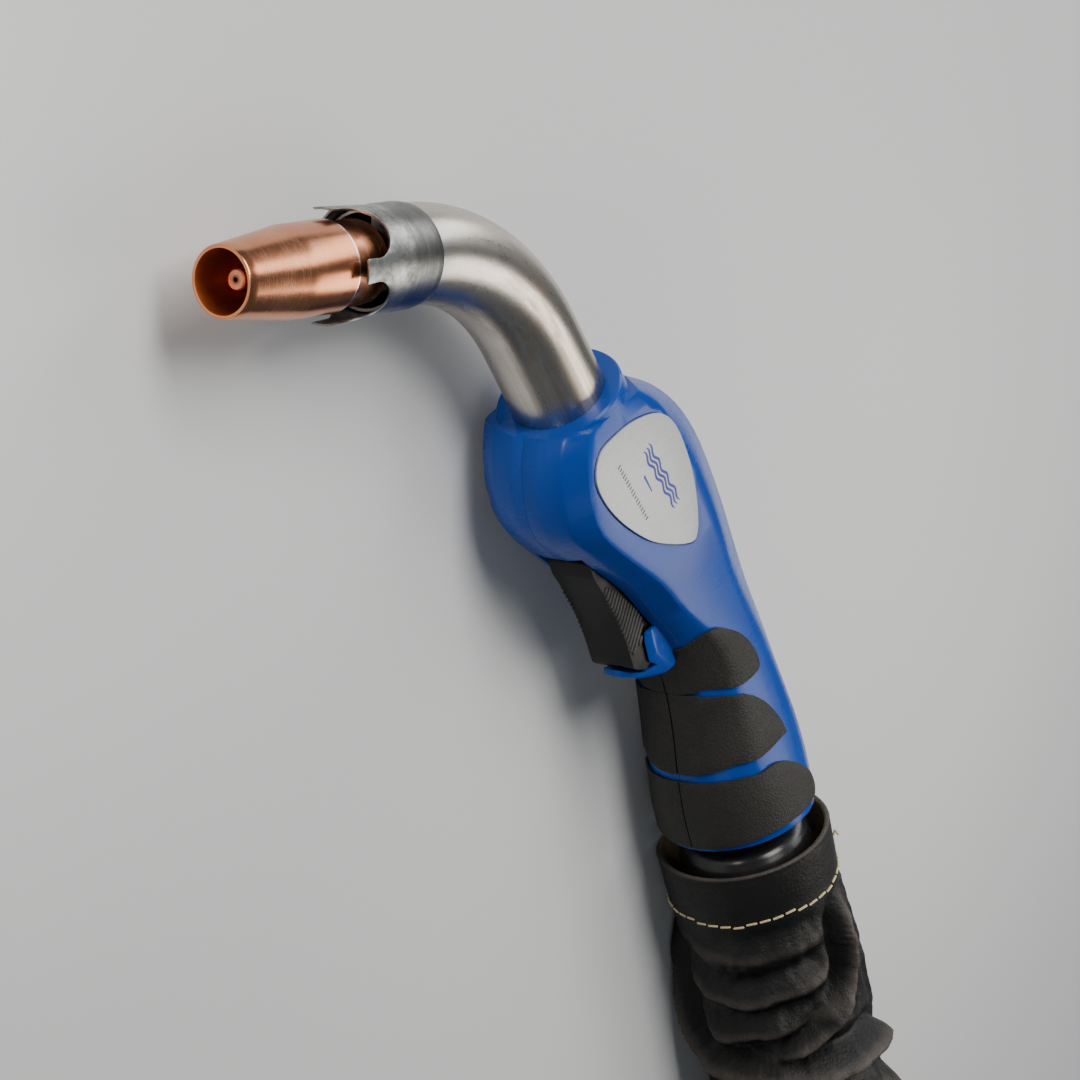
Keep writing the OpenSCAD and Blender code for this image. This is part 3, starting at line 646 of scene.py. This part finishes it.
def sleeve_surface(rows, columns):
    """Outer surface of the sleeve: points by row and column, and a tone value for each: positive on a ridge,
    painted paler for wear and a painted highlight; negative in a crease, painted shade.
    """
    folds = fold_samples()
    points, wear_highlights_and_crease_shades = [], []
    for i in range(rows):
        down = SLEEVE_TOP + (SLEEVE_END - SLEEVE_TOP) * i / (rows - 1)
        calm = min(1, max(0, (down - 189) / 8))
        for j in range(columns):
            degrees = 360 * j / columns
            rise, sag, wear_and_painted_light, crease_shade = 0.0, 0.0, 0.0, 0.0
            for fold, crest in folds:
                best, lift = 1e9, 0
                for q, s, strength in crest:
                    across = (degrees - q + 180) % 360 - 180
                    if abs(s - down) > FOLD_REACH or abs(across) > 34:
                        continue
                    gap = math.hypot(across * 0.49, down - s)
                    if gap < best:
                        best, lift = gap, strength
                        above = down < s
                if best < FOLD_REACH:
                    width = fold["width"] * (0.8 if above else 0.95)
                    shape = math.exp(-(best / width) ** 2)
                    hollow = -(0.75 if above else 0.3) * math.exp(-((best - 2 * width) / width) ** 2)
                    rise += lift * fold["height"] * (shape + hollow)
                    sag += lift * fold["droop"] * shape
                    # ridge crests get paler paint, wear and painted highlight; the hollows beside them get
                    # painted shade
                    rubbed_and_lit = math.exp(-(best / (0.42 * fold["width"])) ** 2)
                    wear_and_painted_light = max(wear_and_painted_light, lift * rubbed_and_lit * min(1, fold["height"] / 3.4))
                    crease_shade = max(crease_shade, -lift * hollow * min(1, fold["height"] / 3.0))
            q = math.radians(degrees)
            around = Vector((math.cos(q) * 1.1, math.sin(q) * 1.1, down * 0.028))
            rumple = noise.fractal(around * 1.7, 0.9, 2.1, 4) * 1.7 + noise.noise(around * 6.0) * 0.35
            radius = table_value(PROFILE, down) + calm * (rise + rumple)
            radius += (1 - calm) * 0.25 * noise.noise(around * 3)
            points.append((radius, q, down + calm * sag))
            # tone value: paler on ridges (wear and painted highlight), darker in creases (painted shade)
            wear_highlights_and_crease_shades.append(calm * (wear_and_painted_light if wear_and_painted_light > 0.12 else -crease_shade))
    return points, wear_highlights_and_crease_shades


def axis_height(down):
    return table_value([(171, 24.4), (240, 24.4), (270, 24.2), (300, 23.4), (330, 21.8), (360, 20.2), (372,
                                                                                                       20)],
                                                                                                       down)


def sleeve_point(radius, q, down):
    """A point round the hose, kept above the floor, in metres."""
    low = 0.35 - axis_height(down)
    z = radius * math.sin(q)
    if z < low + 3:
        t = (low + 3 - z) / 6
        z = low + 3 - 3 * (1 - math.exp(-2 * t))
    return Vector((COLLAR.x + (HOSE_X + radius * math.cos(q)) * MM, COLLAR.y - down * MM,
                   (axis_height(down) + z) * MM))


def make_sleeve():
    rows, columns = 300, 240
    surface, wear_highlights_and_crease_shades = sleeve_surface(rows, columns)
    thickness = 1.7
    rings, wear_and_painted_light, suede = [], [], []
    # inner lining, from the end of the cuff up to the rim
    for down in [230, 215, 205, 198, 192, 186, 180, 176, 173, 171.6]:
        inner = 24.9 if down < 187 else 24.9 - 5.2 * ease((down - 187) / 12)
        rings.append([(inner, 2 * math.pi * j / columns, down) for j in range(columns)])
        wear_and_painted_light.append([0.0] * columns)
        suede.append([1.0] * columns)
    # rolled rim, painted paler along its crest: wear and a painted highlight
    for turn in range(0, 181, 20):
        q = math.radians(turn)
        rings.append([(25.75 - 0.85 * math.cos(q), 2 * math.pi * j / columns, 171.1 - 0.85 * math.sin(q))
                      for j in range(columns)])
        wear_and_painted_light.append([0.9 * math.sin(q)] * columns)
        suede.append([1.0 if turn < 50 else 0.0] * columns)
    for i in range(2, rows):
        rings.append(surface[i * columns:(i + 1) * columns])
        wear_and_painted_light.append(wear_highlights_and_crease_shades[i * columns:(i + 1) * columns])
        suede.append([0.0] * columns)
    # turned-in lower edge
    for inward in (0.8, thickness, 4.0):
        rings.append([(r - inward, q, s - 0.4 * inward) for r, q, s in surface[-columns:]])
        wear_and_painted_light.append([0.2] * columns)
        suede.append([0.0] * columns)
    points = [sleeve_point(*p) for ring in rings for p in ring]
    faces = ring_faces(len(rings), columns, False)
    sleeve = add_piece("leather_sleeve_skin", points, faces, MATERIALS["leather"], "hose")
    for name, rows_of in (("wear_highlight_and_crease_shade", wear_and_painted_light), ("suede", suede)):
        layer = sleeve.data.attributes.new(name, "FLOAT", "POINT")
        layer.data.foreach_set("value", [v for row in rows_of for v in row])
    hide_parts("leather_sleeve")
    return sleeve


def capsule(start, end, radius, sides=8):
    """Points and faces of a rounded stitch between two points."""
    along = (end - start).normalized()
    side = along.orthogonal().normalized()
    up = along.cross(side)
    points = []
    steps = [(-0.9, 0.25), (-0.6, 0.75), (0, 1)]
    stations = [(start + along * radius * a, b) for a, b in steps]
    stations += [(end - along * radius * a, b) for a, b in steps[::-1]]
    for centre, size in stations:
        for j in range(sides):
            q = 2 * math.pi * j / sides
            points.append(centre + radius * size * (math.cos(q) * side + math.sin(q) * up))
    return points, ring_faces(len(stations), sides)


def make_stitches():
    points, faces = [], []
    count = 40
    for k in range(count):
        down = 187 + 0.5 * math.sin(k * 0.8) + 0.25 * math.sin(k * 2.3)
        a, b = 2 * math.pi * (k + 0.16) / count, 2 * math.pi * (k + 0.84) / count
        stitch = capsule(sleeve_point(26.15, a, down), sleeve_point(26.15, b, down + 0.15), 0.00036)
        append_mesh(points, faces, *stitch)
    loose = [sleeve_point(26.3, math.radians(58), 177), sleeve_point(27.3, math.radians(57), 175.5),
             sleeve_point(28.1, math.radians(59), 176.5)]
    for a, b in zip(loose, loose[1:]):
        append_mesh(points, faces, *capsule(a, b, 0.00035))
    stitches = add_piece("cuff_stitches", points, faces, MATERIALS["thread"], "hose")
    return stitches


# ---------- neck tube ----------
def make_neck():
    """The bent suction tube, with its length and the way round it stored for the material."""
    sides, outer, inner = 72, 14.0, 12.8
    steps = 40
    frames = [COLLAR_FRAME @ shift(0, 0, z) for z in (-36, -20, -8, 0, 8, 16)]
    for k in range(steps + 1):
        frames.append(COLLAR_FRAME @ shift(-NECK_RADIUS, 0, NECK_RISE)
                      @ Matrix.Rotation(-NECK_BEND * k / steps, 4, "Y") @ shift(NECK_RADIUS, 0, 0))
    frames += [NOZZLE_FRAME @ shift(0, 0, z) for z in (6, 12, 17.7)]
    outer_rings = [(m, outer) for m in frames] + [(NOZZLE_FRAME @ shift(0, 0, 18), outer - 0.25)]
    inner_rings = [(NOZZLE_FRAME @ shift(0, 0, 18), inner + 0.2)] + [(m, inner) for m in frames[::-1]]
    points, along, around = [], [], []
    total = len(frames)
    for index, (m, radius) in enumerate(outer_rings + inner_rings):
        share = index / total if index < total else max(0, 1 - (index - total) / total)
        for j in range(sides):
            q = 2 * math.pi * j / sides
            points.append(m @ (Vector((math.cos(q), math.sin(q), 0)) * radius * MM))
            along.append(share)
            around.append(j / sides)
    rings = len(outer_rings) + len(inner_rings)
    faces = ring_faces(rings, sides, False)
    last = (rings - 1) * sides
    faces += [(last + j, last + (j + 1) % sides, (j + 1) % sides, j) for j in range(sides)]
    neck = add_piece("neck_tube_skin", points, faces, MATERIALS["neck"], "torch")
    for name, values in (("along", along), ("around", around)):
        neck.data.attributes.new(name, "FLOAT", "POINT").data.foreach_set("value", values)
    split = neck.modifiers.new("split", "EDGE_SPLIT")
    split.split_angle = math.radians(35)
    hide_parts("neck_tube")


# ---------- trigger panels and badge marks ----------
RIB_PANEL = [(-9.1, -57.5), (-5.9, -59.6), (-3.3, -62.9), (-0.5, -66.9), (2.4, -71.1), (4.0, -74.9), (3.6,
                                                                                                      -78.4),
             (1.6, -81.3), (-0.7, -82.8), (-4.0, -83.5), (-4.9, -78.6), (-6.0, -73.4), (-6.6, -70.0), (-7.9,
                                                                                                       -65.8),
             (-9.6, -60.4)]
RIB_SPACING = 1.55
RIB_HEIGHT = 7.42
INK_THICKNESS = 0.07


def crossings(outline, start, along):
    """Distances along a line at which it crosses an outline."""
    found = []
    for (ax, ay), (bx, by) in zip(outline, outline[1:] + outline[:1]):
        ex, ey = bx - ax, by - ay
        denominator = along.x * ey - along.y * ex
        if abs(denominator) < 1e-9:
            continue
        t = ((ax - start.x) * ey - (ay - start.y) * ex) / denominator
        u = ((ax - start.x) * along.y - (ay - start.y) * along.x) / denominator
        if 0 <= u < 1:
            found.append(t)
    return sorted(found)


def make_trigger_ribs():
    """Slanting ribs on both sides of the trigger."""
    along = Vector((0.745, 0.667))
    across = Vector((0.667, -0.745))
    middle = Vector((-3.0, -70.5))
    points, faces = [], []
    for side in (-1, 1):
        for k in range(-9, 10):
            foot = middle + across * RIB_SPACING * k
            ends = crossings(RIB_PANEL, foot, along)
            if len(ends) < 2 or ends[-1] - ends[0] < 1.8:
                continue
            a, b = (foot + along * t for t in (ends[0] + 0.3, ends[-1] - 0.3))
            rib = capsule(at(a.x, a.y, side * RIB_HEIGHT), at(b.x, b.y, side * RIB_HEIGHT), 0.0005, 10)
            append_mesh(points, faces, *rib)
    ribs = add_piece("trigger_rib_panels", points, faces, MATERIALS["ribs"], "trigger")
    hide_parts("trigger_ribs")


def ribbon(centre_line, widths, side, low, high):
    """Points and faces of a thin flat strip along a line on the badge."""
    points = []
    count = len(centre_line)
    for k, (here, width) in enumerate(zip(centre_line, widths)):
        along = (centre_line[min(k + 1, count - 1)] - centre_line[max(k - 1, 0)]).normalized()
        across = Vector((along.y, -along.x)) * width / 2
        for spot, z in ((here - across, low), (here + across, low), (here + across, high), (here - across,
                                                                                            high)):
            points.append(at(spot.x, spot.y, side * z))
    return points, ring_faces(count, 4)


def make_badge_marks():
    """Three waves and a dash in blue, and a row of dark ticks, in place of any lettering."""
    top = 19.38
    for name, side in (("left", 1), ("right", -1)):
        blue, dark = ([], []), ([], [])
        start, end = Vector((9.0, -20.2)), Vector((17.1, -43.1))
        along = (end - start).normalized()
        across = Vector((-along.y, along.x))
        length = (end - start).length
        strips = []
        for row in (-1, 0, 1):
            line = [start + along * length * k / 48 + across * (1.55 * row + 0.55 * math.sin(k * math.pi / 6))
                    for k in range(49)]
            strips.append((line, [0.85 * min(1, 0.25 + k / 6, 0.25 + (48 - k) / 6) for k in range(49)]))
        dash = [Vector((5.4, -27.4)).lerp(Vector((7.2, -33.4)), k / 8) for k in range(9)]
        strips.append((dash, [0.9 - 0.06 * k for k in range(9)]))
        for line, widths in strips:
            append_mesh(*blue, *ribbon(line, widths, side, top, top + INK_THICKNESS))
        first, last = Vector((-4.4, -18.9)), Vector((2.3, -39.4))
        step = (last - first) / 17
        side_step = Vector((-step.y, step.x)).normalized()
        for k in range(18):
            tall = (0.85, 0.6, 0.72)[k % 3]
            middle = first + step * k
            line = [middle - side_step * tall, middle + side_step * tall]
            append_mesh(*dark, *ribbon(line, [0.42, 0.42], side, top, top + INK_THICKNESS))
        waves = add_piece("badge_waves_" + name, *blue, MATERIALS["ink"], "torch", smooth=False)
        ticks = add_piece("badge_ticks_" + name, *dark, MATERIALS["dark_ink"], "torch", smooth=False)


# ---------- floor and lights ----------
def make_floor():
    size = 6
    mesh = bpy.data.meshes.new("floor")
    mesh.from_pydata([(-size, -size, 0), (size, -size, 0), (size, size, 0), (-size, size, 0)], [], [(0, 1,
                                                                                                     2, 3)])
    floor = bpy.data.objects.new("floor", mesh)
    floor.data.materials.append(floor_paint())
    bpy.context.scene.collection.objects.link(floor)


def area_light(name, direction, distance, size, power, colour=(1, 1, 1), aim=None):
    light = bpy.data.lights.new(name, "AREA")
    light.shape = "RECTANGLE"
    light.size, light.size_y = size
    light.energy = power
    light.color = colour
    lamp = bpy.data.objects.new(name, light)
    direction = direction.normalized()
    lamp.location = (aim or COLLAR) + direction * distance
    lamp.rotation_mode = "QUATERNION"
    lamp.rotation_quaternion = direction.to_track_quat("Z", "Y")
    bpy.context.scene.collection.objects.link(lamp)


def make_lights():
    area_light("key", VIEW * 0.72 + RIGHT * 0.5 + UP * 0.5, 1.3, (0.6, 0.9), 19, (1, 0.97, 0.93))
    along = (MOUTH_FRAME.translation - COLLAR).normalized()
    area_light("band", VIEW - 2 * VIEW.dot(along) * along, 0.45, (0.2, 0.2), 0.55, (1, 0.95, 0.88),
               (COLLAR + MOUTH_FRAME.translation) / 2)
    area_light("fill", Vector((-0.9, -0.5, 0.7)), 1.8, (0.8, 0.8), 1.6, (0.93, 0.96, 1))
    area_light("mouth", Vector((-0.8, 0.45, 0.35)), 0.28, (0.05, 0.05), 0.3, (1, 0.95, 0.9),
               MOUTH_FRAME.translation)
    area_light("rim", Vector((0.9, 0.2, 0.5)), 1.6, (0.5, 1.4), 9)
    world = bpy.data.worlds.new("studio")
    bpy.context.scene.world = world
    world.use_nodes = True
    world.node_tree.nodes["Background"].inputs["Color"].default_value = (0.20, 0.23, 0.26, 1)
    world.node_tree.nodes["Background"].inputs["Strength"].default_value = 0.5


make_floor()
make_lights()
dress_cad_nodes()
sleeve = make_sleeve()
stitches = make_stitches()
make_neck()
make_trigger_ribs()
make_badge_marks()
